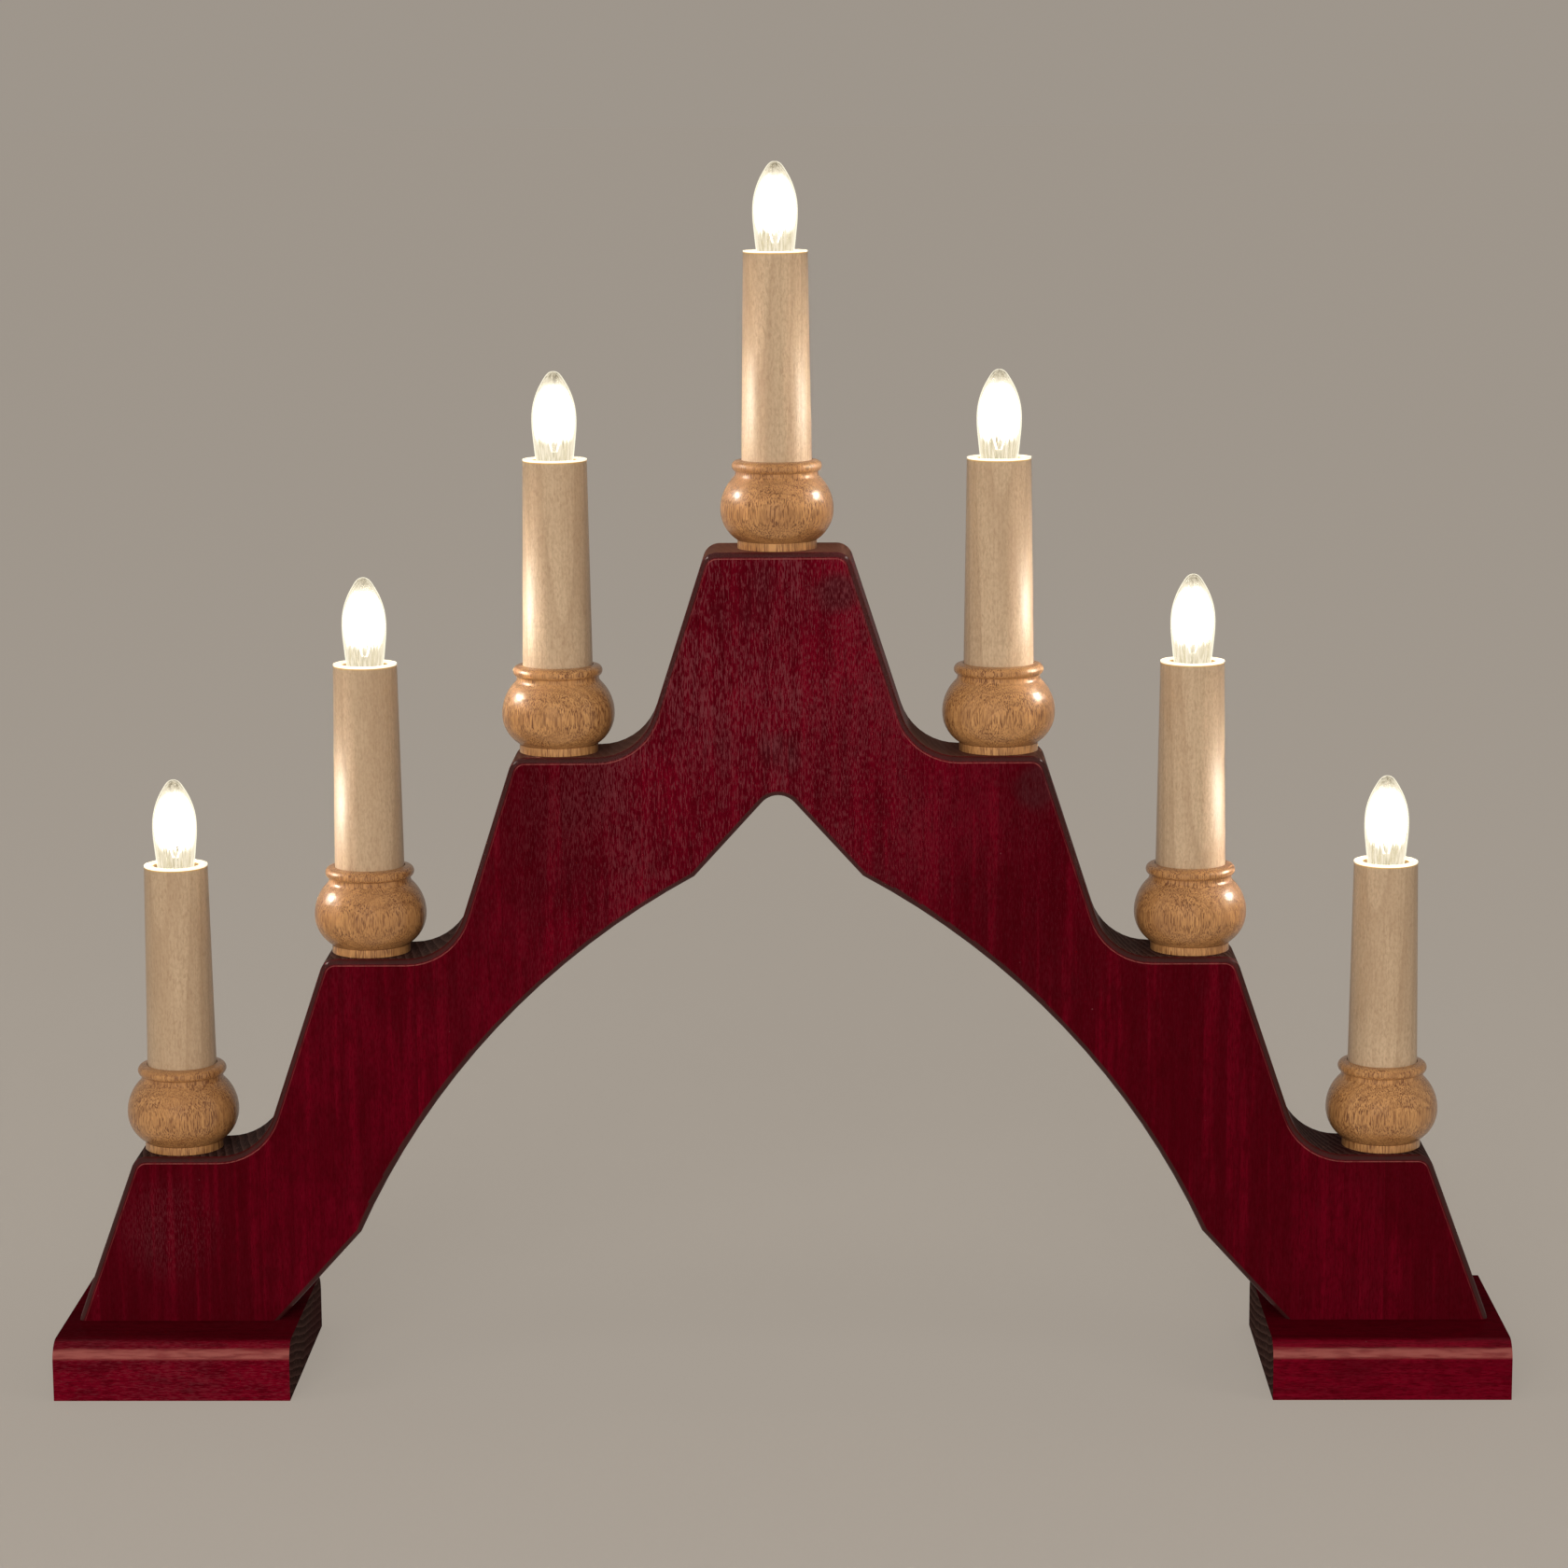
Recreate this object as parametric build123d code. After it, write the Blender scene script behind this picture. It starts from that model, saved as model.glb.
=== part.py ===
from build123d import *
import math
import os

os.makedirs("parts", exist_ok=True)

# All lengths are in millimetres. +X is to the right seen from the front, +Y to the back, +Z up.
# The origin is on the table, midway between the two feet.

# Feet, each with its middle under the outer candle
foot_width = 70.4
foot_depth = 74.0
foot_height = 17.6
foot_round = 6.0

# Arch board, cut from one plank
board_thickness = 28.0
edge_round = 2.0
lowest_step = 68.3
step_rise = 60.5
inner_reach = 65.3
middle_reach = 122.6
outer_reach = 180.8
crown_half = 21.0
step_lip = 12.9
hollow_inset = 24.8
nose_round = 5.0
hollow_round = 17.7
toe_slope = 20.1  # degrees from upright, the lowest side

# Underside of the arch: a straight cut, a wide curve and a second straight cut on each side
underside_peak = 180.8
underside_slope = 47.6  # degrees from level
peak_round = 6.4
straight_cut = 37.0
toe_inset = 29.6
arch_radius = 235.0

# Wiring channel in the back of the board
channel_width = 6.0
channel_depth = 7.0
channel_drop = 41.5
outer_channel_drop = 30.0
channel_bend = 8.0
wire_bore_radius = 3.5
back_bore_radius = 4.5

# Turned cup
cup_height = 26.0
bowl_radius = 16.7
widest_height = 11.4
ring_radius = 11.7
ring_height = 2.3
undercut = 0.2
neck_radius = 12.2
neck_base = 21.3
neck_round = 2.0
lip_base = 22.6
lip_radius = 13.25
lip_edge = 0.3
socket_depth = 10.0
spigot_radius = 6.0
spigot_length = 9.0
spigot_spare = 1.0

# Candle tube
tube_top = 86.9
tube_top_radius = 9.45
tube_base_radius = 10.35
tube_bore_radius = 7.0
holder_recess = 8.3

# Lampholder inside the tube
holder_height = 25.7
holder_radius = 6.9
pocket_depth = 12.1
web_thickness = 2.0
skirt_wall = 1.5
sleeve_wall = 0.4
flange_reach = 0.7
strip_thickness = 0.35
strip_width = 2.4
strip_tip_overlap = 0.9
terminal_inset = 1.0

# Fluted candle bulb with a screw cap
bulb_length = 45.0
bulb_show = 26.6
bulb_radius = 6.75
glass_wall = 0.6
glass_seat = 2.0
flute_count = 24
valley_share = 0.93
cavity_sides = 12
# Down the glass from its tip: share of the glass length, share of the bulb radius
glass_shares = (
    (0.0, 0.1), (0.025, 0.21), (0.078, 0.42), (0.132, 0.595), (0.19, 0.75), (0.254, 0.875), (0.322, 0.96),
    (0.4, 1.0), (0.5, 0.988), (0.61, 0.925), (0.739, 0.85), (0.889, 0.68), (0.93, 0.615), (1.0, 0.615),
)
cavity_tip_radius = 0.4
cap_radius = 4.66
cap_wall = 0.3
cap_length = 8.7
insulator_height = 1.5
insulator_tip_radius = 2.0
insulator_seat = 1.1
contact_radius = 1.5
contact_height = 0.8
contact_chamfer = 0.5
stem_flare_radius = 3.2
stem_flare_height = 2.0
stem_neck_radius = 1.3
stem_top_radius = 1.0
stem_length = 11.5
filament_radius = 0.25
filament_foot = 0.7
filament_spread = 2.6
filament_support = 7.0
filament_rise = 6.0

# Leads between neighbouring lampholders, and the staples over the channel
lead_radius = 0.9
lead_offset = 2.4
lead_bend = 4.9
staple_wire = 1.0
staple_land = 1.5
staple_leg = 6.0
staple_shares = (0.36, 0.64)

# Screws up through the feet
screw_radius = 2.0
screw_head_radius = 4.0
screw_head_height = 2.2
screw_length = 36.0
screw_point = 5.0
screw_sink = 0.5
screw_spread = 14.0

# Clearances shared by the fits, an overrun for every cut and a tolerance for finding corners
fit_gap = 0.05
slip_gap = 0.2
thread_gap = 0.08
contact_gap = 0.1
overrun = 1.0
tolerance = 0.01

# Places worked out from the sizes above
half_board = board_thickness / 2
crown_height = lowest_step + 3 * step_rise
toe_reach = outer_reach + step_lip + (lowest_step - foot_height) * math.tan(math.radians(toe_slope))
toe_inner_reach = outer_reach - toe_inset
overall_width = 2 * outer_reach + foot_width
socket_floor = cup_height - socket_depth
socket_radius = tube_base_radius + slip_gap
holder_rim = tube_top - holder_recess
holder_base = holder_rim - holder_height
web_top = holder_rim - pocket_depth
web_base = web_top - web_thickness
bulb_tip = tube_top + bulb_show
bulb_base = bulb_tip - bulb_length
insulator_base = bulb_base + contact_height
cap_base = insulator_base + insulator_height
cap_top = cap_base + cap_length
glass_base = cap_top - glass_seat
glass_length = bulb_tip - glass_base
sleeve_inner = cap_radius + thread_gap
sleeve_outer = sleeve_inner + sleeve_wall

# Candle axes from left to right: distance from the centre line and height of the step
reaches = (-outer_reach, -middle_reach, -inner_reach, 0, inner_reach, middle_reach, outer_reach)
stations = [(x, lowest_step + step_rise * (3 - abs(3 - i))) for i, x in enumerate(reaches)]


def channel_height(step):
    """Height of the wiring channel behind a candle whose step is this high."""
    return step - (outer_channel_drop if step == lowest_step else channel_drop)


def turned(*profile):
    """A solid turned about the Z axis from corners given as radius and height."""
    return revolve(make_face(Polyline(*[(r, 0, z) for r, z in profile], close=True)), Axis.Z)


def rod(radius, low, high, x=0, y=0):
    """An upright cylinder between two heights."""
    stock = Cylinder(radius, high - low, align=(Align.CENTER, Align.CENTER, Align.MIN))
    return Pos(x, y, low) * stock


def slab(width, depth, height):
    """A block that stands on the plane z = 0, centred in X and Y."""
    return Box(width, depth, height, align=(Align.CENTER, Align.CENTER, Align.MIN))


def write(shape, name):
    """Writes one sub-part to its own file."""
    export_step(shape, f"parts/{name}.step")


def group(shapes):
    """Several separate solids kept in one node."""
    return Compound(children=[solid for shape in shapes for solid in shape.solids()])


def outer_corners():
    """Sharp corners of the right-hand steps from the crown to the toe, nose and hollow in turn."""
    corners = [(crown_half, crown_height)]
    for reach in (inner_reach, middle_reach, outer_reach):
        floor = corners[-1][1] - step_rise
        corners.append((reach - hollow_inset, floor))
        corners.append((reach + step_lip, floor))
    return corners


def hollow_radius(nose, hollow):
    """Radius of a hollow below a nose, no larger than ends where the cup's foot ring starts."""
    turn = math.atan2(nose[1] - hollow[1], hollow[0] - nose[0])
    room = hollow_inset - ring_radius
    return min(hollow_round, room / math.tan(turn / 2))


def underside_corners():
    """The two corners where the straight cuts of the right-hand underside meet the wide curve."""
    run = straight_cut * math.cos(math.radians(underside_slope))
    fall = straight_cut * math.sin(math.radians(underside_slope))
    return (run, underside_peak - fall), (toe_inner_reach - run, foot_height + fall)


def board_outline():
    """The board's face: half of it drawn, mirrored, and its corners rounded."""
    corners = outer_corners()
    upper, lower = underside_corners()
    half_chord = math.dist(upper, lower) / 2
    bulge = arch_radius - math.sqrt(arch_radius**2 - half_chord**2)
    toe = [(toe_reach, foot_height), (toe_inner_reach, foot_height), lower]
    edges = [
        Polyline((0, underside_peak), (0, crown_height), *corners, *toe),
        SagittaArc(upper, lower, bulge),
        Line(upper, (0, underside_peak)),
    ]
    half = make_face([e for line in edges for e in line.edges()])
    outline = half + mirror(half, about=Plane.YZ)
    outline = Sketch() + outline.clean()
    noses, hollows = corners[0::2], corners[1::2]
    rounds = [((0, underside_peak), peak_round)]
    rounds += [(nose, nose_round) for nose in noses]
    rounds += [(hollow, hollow_radius(nose, hollow)) for nose, hollow in zip(noses, hollows)]
    for place, radius in rounds:
        outline = fillet(corners_at(outline, *place), radius)
    return outline


def corners_at(outline, x, z):
    """The outline's corner at this place and its mirror image."""
    return [v for v in outline.vertices() if abs(abs(v.X) - x) < tolerance and abs(v.Y - z) < tolerance]


def channel_path():
    """Centre line of the wiring channel, from the left candle to the right one and down to the cord's way out."""
    points = [(x, channel_height(step)) for x, step in stations]
    points.append((outer_reach, foot_height - overrun))
    return FilletPolyline(*points, radius=channel_bend)


def candle_bores():
    """What is drilled for every candle: the cup's spigot, the way down for the wires and the way to the back."""
    bores = []
    for x, step in stations:
        channel = channel_height(step)
        bores.append(rod(spigot_radius + fit_gap, step - spigot_length - spigot_spare, step + overrun, x))
        bores.append(rod(wire_bore_radius, channel, step, x))
        across = Cylinder(back_bore_radius, half_board + overrun, align=(Align.CENTER, Align.CENTER, Align.MIN))
        bores.append(Pos(x, half_board + overrun, channel) * Rot(90, 0, 0) * across)
    return bores


def screw_places():
    """Where the screws stand: two in each foot, each side of the outer candle's axis."""
    middle = (toe_reach + toe_inner_reach) / 2
    return [(side * (middle + way * screw_spread), 0) for side in (-1, 1) for way in (-1, 1)]


def arch_board():
    """The stepped board with its eased edges, bores and wiring channel."""
    board = extrude(Plane.XZ * board_outline(), amount=half_board, both=True)
    faces = board.faces().sort_by(Axis.Y)
    rims = [e for face in (faces[0], faces[-1]) for e in face.edges()]
    eased = [e for e in rims if e.center().Z > foot_height + tolerance]
    board = fillet(eased, edge_round)
    route = trace(channel_path(), channel_width)
    back = Plane.XZ.offset(-half_board - overrun)
    board -= extrude(back * route, amount=channel_depth + overrun)
    for bore in candle_bores():
        board -= bore
    pilot_top = screw_sink + screw_length + fit_gap
    for x, y in screw_places():
        board -= rod(screw_radius + fit_gap, foot_height - overrun, pilot_top, x, y)
    return board


def foot(side):
    """One foot block, rounded along its front and back upper edges, drilled for its two screws."""
    block = slab(foot_width, foot_depth, foot_height)
    upper = block.faces().sort_by(Axis.Z)[-1].edges().filter_by(Axis.X)
    block = Pos(side * outer_reach, 0, 0) * fillet(upper, foot_round)
    for x, y in screw_places():
        if x * side > 0:
            block -= rod(screw_radius + slip_gap, -overrun, foot_height + overrun, x, y)
            block -= Pos(x, y, 0) * head_recess()
    return block


def head_recess():
    """The countersink that takes a screw's head, a little below the foot's lower face."""
    wide, narrow = screw_head_radius + slip_gap, screw_radius + slip_gap
    top = screw_sink + screw_head_height + slip_gap
    return turned((0, -overrun), (wide, -overrun), (wide, screw_sink), (narrow, top), (0, top))


def foot_screw(x, y):
    """A countersunk wood screw, its point up in the board."""
    top = screw_sink + screw_length
    profile = (
        (0, screw_sink), (screw_head_radius, screw_sink), (screw_radius, screw_sink + screw_head_height),
        (screw_radius, top - screw_point), (0, top),
    )
    return Pos(x, y, 0) * turned(*profile)


def cup():
    """A turned cup on its step: foot ring, bowl, hollow neck and rolled lip, with the tube's socket and a spigot."""
    lip_top = cup_height - lip_edge
    lip_middle = (lip_base + lip_top) / 2
    low = (ring_radius - undercut, 0, ring_height)
    widest = (bowl_radius, 0, widest_height)
    neck_low, neck_high = (neck_radius, 0, neck_base), (neck_radius, 0, lip_base)
    outside = [
        Polyline((spigot_radius, 0, -spigot_length), (spigot_radius, 0, 0), (ring_radius, 0, 0),
                 (ring_radius, 0, ring_height), low),
        TangentArc(widest, low, tangent=(0, 0, -1)),
        TangentArc(widest, neck_low, tangent=(0, 0, 1)),
        Line(neck_low, neck_high),
        ThreePointArc(neck_high, (lip_radius, 0, lip_middle), (neck_radius, 0, lip_top)),
    ]
    inside = Polyline(
        (neck_radius, 0, lip_top), (socket_radius, 0, cup_height), (socket_radius, 0, socket_floor),
        (wire_bore_radius, 0, socket_floor), (wire_bore_radius, 0, -spigot_length),
        (spigot_radius, 0, -spigot_length),
    )
    section = make_face([e for line in (*outside, inside) for e in line.edges()]).face()
    corner = section.vertices().sort_by_distance(neck_low)[0]
    return revolve(section.fillet_2d(neck_round, [corner]), Axis.Z)


def candle_tube():
    """The tapered tube, with a wide bore for the lampholder and a narrow one for its wires."""
    return turned(
        (tube_base_radius, socket_floor), (tube_base_radius, cup_height), (tube_top_radius, tube_top),
        (tube_bore_radius, tube_top), (tube_bore_radius, holder_base), (wire_bore_radius, holder_base),
        (wire_bore_radius, socket_floor),
    )


def lampholder():
    """The moulded holder: a pocket for the thread sleeve above a web, and a hollow skirt for the leads."""
    pocket = sleeve_outer + fit_gap
    skirt = holder_radius - skirt_wall
    body = turned((0, holder_base), (holder_radius, holder_base), (holder_radius, holder_rim), (0, holder_rim))
    body -= rod(pocket, web_top, holder_rim + overrun)
    body -= rod(skirt, holder_base - overrun, web_base)
    for x in (-lead_offset, lead_offset):
        body -= rod(lead_radius + fit_gap, web_base - overrun, web_top + overrun, x)
    return body


def thread_sleeve():
    """The brass sleeve that the bulb screws into, with its flange on the rim and its terminal on the web."""
    top = holder_rim + sleeve_wall
    sleeve = turned(
        (sleeve_inner, web_top), (sleeve_outer, web_top), (sleeve_outer, holder_rim),
        (sleeve_outer + flange_reach, holder_rim), (sleeve_outer + flange_reach, top), (sleeve_inner, top),
    )
    reach = sleeve_inner + sleeve_wall / 2 - terminal_inset
    terminal = slab(reach, strip_width, sleeve_wall)
    return sleeve + Pos(-terminal_inset - reach / 2, 0, web_top) * terminal


def centre_strip():
    """The sprung brass strip on the web, its free end just under the bulb's contact."""
    far = sleeve_inner - terminal_inset / 2
    near = lead_offset - lead_radius
    low, high = web_top, bulb_base - contact_gap
    profile = Polyline(
        (far, 0, low), (far, 0, low + strip_thickness), (near, 0, low + strip_thickness),
        (contact_radius / 2, 0, high), (-strip_tip_overlap, 0, high),
        (-strip_tip_overlap, 0, high - strip_thickness), (contact_radius / 2, 0, high - strip_thickness),
        (near, 0, low), close=True,
    )
    return extrude(make_face(profile), amount=strip_width / 2, both=True)


def ring(reaches_out, height):
    """Corners of one level section, evenly turned about the axis, each at its own distance from it."""
    step = math.tau / len(reaches_out)
    return [(r * math.cos(i * step), r * math.sin(i * step), height) for i, r in enumerate(reaches_out)]


def stacked(rings):
    """A solid with flat sides between rings of corners that are scaled copies of each other."""
    polygons = [rings[0], rings[-1]]
    for low, high in zip(rings, rings[1:]):
        polygons += [(low[i - 1], low[i], high[i], high[i - 1]) for i in range(len(low))]
    return Solid(Shell([Face(Wire.make_polygon(corners, close=True)) for corners in polygons]))


def bulb_glass():
    """The pointed, fluted glass, hollow and open at its neck."""
    outside, hollow = [], []
    for down, out in glass_shares:
        height, rib = bulb_tip - down * glass_length, out * bulb_radius
        outside.append(ring([rib, rib * valley_share] * flute_count, height))
        inner = max(rib * valley_share - glass_wall, cavity_tip_radius)
        hollow.append(ring([inner] * cavity_sides, height))
    hollow = hollow[1:]
    hollow[-1] = [(x, y, glass_base - overrun) for x, y, z in hollow[-1]]
    return stacked(outside) - stacked(hollow)


def bulb_cap():
    """The brass screw cap, drawn at its mean thread radius, with its lower rim turned in."""
    inner = cap_radius - cap_wall
    seat = insulator_radius() + fit_gap
    return turned(
        (seat, cap_base), (cap_radius, cap_base), (cap_radius, cap_top), (inner, cap_top),
        (inner, cap_base + cap_wall), (seat, cap_base + cap_wall),
    )


def insulator_radius():
    """Radius of the insulator where it comes out through the cap's lower rim."""
    return (insulator_tip_radius + cap_radius - cap_wall) / 2


def bulb_stem():
    """The glass insulator under the cap and, above it, the glass mount that carries the filament."""
    waist = insulator_radius()
    wide = cap_radius - cap_wall - fit_gap
    shelf = cap_base + cap_wall
    insulator = turned(
        (0, insulator_base), (insulator_tip_radius, insulator_base), (waist, cap_base), (waist, shelf),
        (wide, shelf), (wide, shelf + insulator_seat), (0, shelf + insulator_seat),
    )
    flare_top = glass_base + stem_flare_height
    mount = turned(
        (0, glass_base), (stem_flare_radius, glass_base), (stem_neck_radius, flare_top),
        (stem_top_radius, glass_base + stem_length), (0, glass_base + stem_length),
    )
    return group([insulator, mount])


def bulb_contact():
    """The centre contact at the bottom of the bulb."""
    top = bulb_base + contact_height
    narrow = contact_radius - contact_chamfer
    return turned(
        (0, bulb_base), (narrow, bulb_base), (contact_radius, bulb_base + contact_chamfer),
        (contact_radius, top), (0, top),
    )


def bulb_filament():
    """The filament and its two supports, in one plane through the axis."""
    foot_z = glass_base + stem_length
    knee_z = foot_z + filament_support
    path = Polyline(
        (-filament_foot, 0, foot_z), (-filament_spread, 0, knee_z), (0, 0, knee_z + filament_rise),
        (filament_spread, 0, knee_z), (filament_foot, 0, foot_z),
    )
    return tube_along(path, filament_radius)


def tube_along(path, radius):
    """A round wire swept along a path of straight runs and tangent arcs."""
    start = Plane(origin=path @ 0, z_dir=path % 0)
    return sweep(start * Circle(radius), path=path, transition=Transition.RIGHT)


def link_lead(left, right):
    """The lead from one lampholder down to the channel, along it and up to the next lampholder."""
    (left_x, left_step), (right_x, right_step) = left, right
    left_x, right_x = left_x + lead_offset, right_x - lead_offset
    left_z, right_z = channel_height(left_step), channel_height(right_step)
    back = half_board - channel_depth / 2
    path = FilletPolyline(
        (left_x, 0, left_step + web_top), (left_x, 0, left_z), (left_x, back, left_z),
        (right_x, back, right_z), (right_x, 0, right_z), (right_x, 0, right_step + web_top),
        radius=lead_bend,
    )
    return tube_along(path, lead_radius)


def staple():
    """A staple across the channel, its crown on the board's back face and its legs in the wood."""
    span = channel_width + 2 * staple_land
    crown = Pos(0, half_board + staple_wire / 2, 0) * Box(span, staple_wire, staple_wire)
    crown = fillet(crown.faces().sort_by(Axis.Y)[-1].edges().filter_by(Axis.Z), staple_wire / 2)
    for side in (-1, 1):
        leg = Box(staple_wire, staple_leg, staple_wire)
        crown += Pos(side * (span - staple_wire) / 2, half_board - staple_leg / 2, 0) * leg
    return crown


def staples():
    """Two staples over every stretch of channel between two candles, square to it."""
    placed = []
    for (x0, step0), (x1, step1) in zip(stations, stations[1:]):
        z0, z1 = channel_height(step0), channel_height(step1)
        lean = math.degrees(math.atan2(z1 - z0, x1 - x0))
        for share in staple_shares:
            place = Pos(x0 + share * (x1 - x0), 0, z0 + share * (z1 - z0))
            placed.append(place * Rot(0, -lean - 90, 0) * staple())
    return placed


def main():
    """Builds every sub-part and writes it."""
    write(arch_board(), "arch_board")
    write(foot(-1), "foot_left")
    write(foot(1), "foot_right")
    write(group([foot_screw(x, y) for x, y in screw_places()]), "foot_screws")
    per_candle = {
        "cup": cup(), "candle_tube": candle_tube(), "bulb_glass": bulb_glass(), "bulb_cap": bulb_cap(),
        "bulb_stem": bulb_stem(), "bulb_contact": bulb_contact(), "bulb_filament": bulb_filament(),
    }
    for number, (x, step) in enumerate(stations, 1):
        for name, shape in per_candle.items():
            write(Pos(x, 0, step) * shape, f"{name}_{number}")
    shared = {"lampholders": lampholder(), "thread_sleeves": thread_sleeve(), "centre_strips": centre_strip()}
    for name, shape in shared.items():
        write(group([Pos(x, 0, step) * shape for x, step in stations]), name)
    write(group([link_lead(a, b) for a, b in zip(stations, stations[1:])]), "link_leads")
    write(group(staples()), "lead_staples")
    print("overall size", overall_width, foot_depth, round(crown_height + bulb_tip, 2))
    print("length of thread in the sleeve", round(holder_rim + sleeve_wall - cap_base, 2))


main()
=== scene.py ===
"""Electric candle arch: stained wooden arch with turned cups, candle tubes and seven lit, fluted bulbs."""
import math

import bpy
from bpy.props import FloatProperty, FloatVectorProperty, IntProperty, PointerProperty
from bpy.types import Operator, Panel, PropertyGroup
from mathutils import Matrix, Vector


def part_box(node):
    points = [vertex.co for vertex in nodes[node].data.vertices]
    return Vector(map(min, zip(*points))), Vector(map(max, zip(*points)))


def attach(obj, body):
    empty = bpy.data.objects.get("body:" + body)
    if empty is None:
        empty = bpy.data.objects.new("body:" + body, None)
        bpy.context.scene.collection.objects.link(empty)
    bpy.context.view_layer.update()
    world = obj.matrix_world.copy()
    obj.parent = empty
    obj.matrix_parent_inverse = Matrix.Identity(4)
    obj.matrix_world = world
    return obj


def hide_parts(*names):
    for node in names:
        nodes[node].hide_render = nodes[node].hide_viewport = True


bl_info = {
    "name": "Candle Arch",
    "version": (1, 0, 0),
    "blender": (4, 5, 0),
    "location": "3D View > Sidebar > Candle Arch",
    "description": "Finishes an electric candle arch: stained wood, turned cups, candle tubes and lit bulbs",
    "category": "Object",
}

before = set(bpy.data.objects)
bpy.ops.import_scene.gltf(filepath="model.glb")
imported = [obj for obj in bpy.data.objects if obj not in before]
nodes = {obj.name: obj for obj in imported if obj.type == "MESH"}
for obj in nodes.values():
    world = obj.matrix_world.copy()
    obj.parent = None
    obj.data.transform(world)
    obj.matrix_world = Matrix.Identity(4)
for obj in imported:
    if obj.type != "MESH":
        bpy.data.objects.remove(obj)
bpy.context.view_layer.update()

CANDLES = range(1, 8)

# Up the glass from its neck: share of the length down from the tip, share of the largest radius
GLASS_SHARES = (
    (1.0, 0.615), (0.93, 0.615), (0.889, 0.68), (0.82, 0.765), (0.739, 0.85), (0.675, 0.89), (0.61, 0.925),
    (0.55, 0.96), (0.5, 0.988), (0.45, 0.998), (0.4, 1.0), (0.36, 0.985), (0.322, 0.96), (0.288, 0.922), (0.254, 0.875),
    (0.222, 0.817), (0.19, 0.75), (0.16, 0.677), (0.132, 0.595), (0.105, 0.51), (0.078, 0.42), (0.053, 0.325),
    (0.035, 0.225), (0.025, 0.1),
)

# Brownish patches on the board: place across, height and reach
SMOKY_PLACES = ((0.018, 0.238, 0.014), (0.0, 0.191, 0.014), (0.075, 0.18, 0.015))

# Middle of the milky spot over the left foot, and of the knot from its cup's axis and base
MILKY_PLACE = (-0.184, 0.046)
KNOT_PLACE = (0.0116, -0.0117, 0.0104)

# Tints of the stained wood, inputs of its node group and settings
STAIN_TINTS = ("Stain", "Deep", "Bright", "Smoke", "Fleck", "End Grain", "End Ring", "End Pale", "Worn")

# Stained pieces: way of the fibres, strength of the edge gloss, levels of the normal between which an edge is rubbed
# and painted with a reflection, strengths of the painted shade line beside the face and of the rubbing with its painted
# reflection; and the feet's one wide stave
BOARD_FINISH = dict(along="Z", shine=1.0, Wear_Start=0.9995, Wear_End=0.984, Edge_Dark=0.7, Rub=0.65)
FOOT_FINISH = dict(along="X", shine=0.3, Wear_Start=0.996, Wear_End=0.7, Edge_Dark=0.0, Rub=1.0, Stave=0.5, Shift=0.2)

# Turned pieces: a fleck's width in metres, its length in widths, the flecks' amount and weight, the rings' spacing,
# lean and contrast, strengths of the mottle, the fibres and the lacquer, and roughness of the lacquer and the wood
CUP_FINISH = dict(
    width=0.00029, long=15.0, amount=0.75, weight=0.9, spacing=0.0021, lean=0.15, contrast=0.6, mottle=0.15,
    fibre=0.4, coat=0.8, dull=0.27, soft=0.48)
TUBE_FINISH = dict(
    width=0.0005, long=4.0, amount=0.6, weight=0.3, spacing=0.0024, lean=-0.045, contrast=0.5, mottle=0.4,
    fibre=0.25, coat=0.6, dull=0.44, soft=0.5)

# Pith of a turned piece: its swing aside and the step of that from candle to candle, its place behind the candles, the
# swing and step of that place, and how much it grows with the height
CUP_PITH = (0.012, 2.4, 0.03, 0.01, 1.7, 0.15)
TUBE_PITH = (0.006, 1.9, 0.012, 0.008, 2.3, -0.03)

# Bands of painted bulb light under a tube's sawn top, in metres: where each starts and where it is full; and how far
# the top glows, a painted glow
RIM_BAND = (0.0009, 0.0005)
SAWN_BAND = (0.0005, 0.0003)
SAWN_PAINTED_GLOW = 0.8

# Half the height of a thread's ridge as a share of its pitch
HALF_RIDGE = 0.36

# Distances that count as none: between doubles, from the axis and from a tip
DOUBLES, ON_AXIS, AT_TIP = 1e-7, 1e-6, 1e-5

# Metals: light and dark tone, scale of the tarnish, scale of the roughness, its least and its most
METALS = {
    "Pressed Brass": ((0.72, 0.52, 0.24), (0.5, 0.33, 0.14), 400, 900, 0.22, 0.4),
    "Zinc Plate": ((0.6, 0.6, 0.58), (0.42, 0.42, 0.42), 700, 1500, 0.28, 0.48),
    "Tinned Contact": ((0.66, 0.65, 0.62), (0.45, 0.44, 0.42), 1500, 2500, 0.25, 0.45),
}

# Lamps: name, setting of the power, size and place; and the point that they face
LAMPS = (
    ("Key", "key_power", 1.6, (-0.3, -2.2, 0.7)),
    ("Left", "fill_power", 0.7, (-1.5, -0.7, 0.7)),
    ("Right", "fill_power", 0.7, (1.5, -0.7, 0.7)),
)
LAMP_AIM = (0, 0, 0.15)

# Floor: its size, the even light mixed into it and that light's share, and the light of the background that meets it
FLOOR_SIZE, EVEN_LIGHT, EVEN_SHARE, BACKDROP_LIGHT = 60, 0.9, 0.62, 0.661


def colour(name, description, default):
    """A colour property with its default, in linear light."""
    return FloatVectorProperty(
        name=name, description=description, default=default, subtype="COLOR", size=3, min=0, max=1)


def length(name, description, default):
    """A length property in metres."""
    return FloatProperty(name=name, description=description, default=default, min=0, unit="LENGTH", precision=5)


def share(name, description, default):
    """A property from nought to one."""
    return FloatProperty(name=name, description=description, default=default, min=0, max=1, subtype="FACTOR")


def strength(name, description, default):
    """A property from nought upwards."""
    return FloatProperty(name=name, description=description, default=default, min=0)


def angle(name, description, degrees):
    """An angle property with its default in degrees."""
    return FloatProperty(name=name, description=description, default=math.radians(degrees), subtype="ANGLE")


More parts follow.
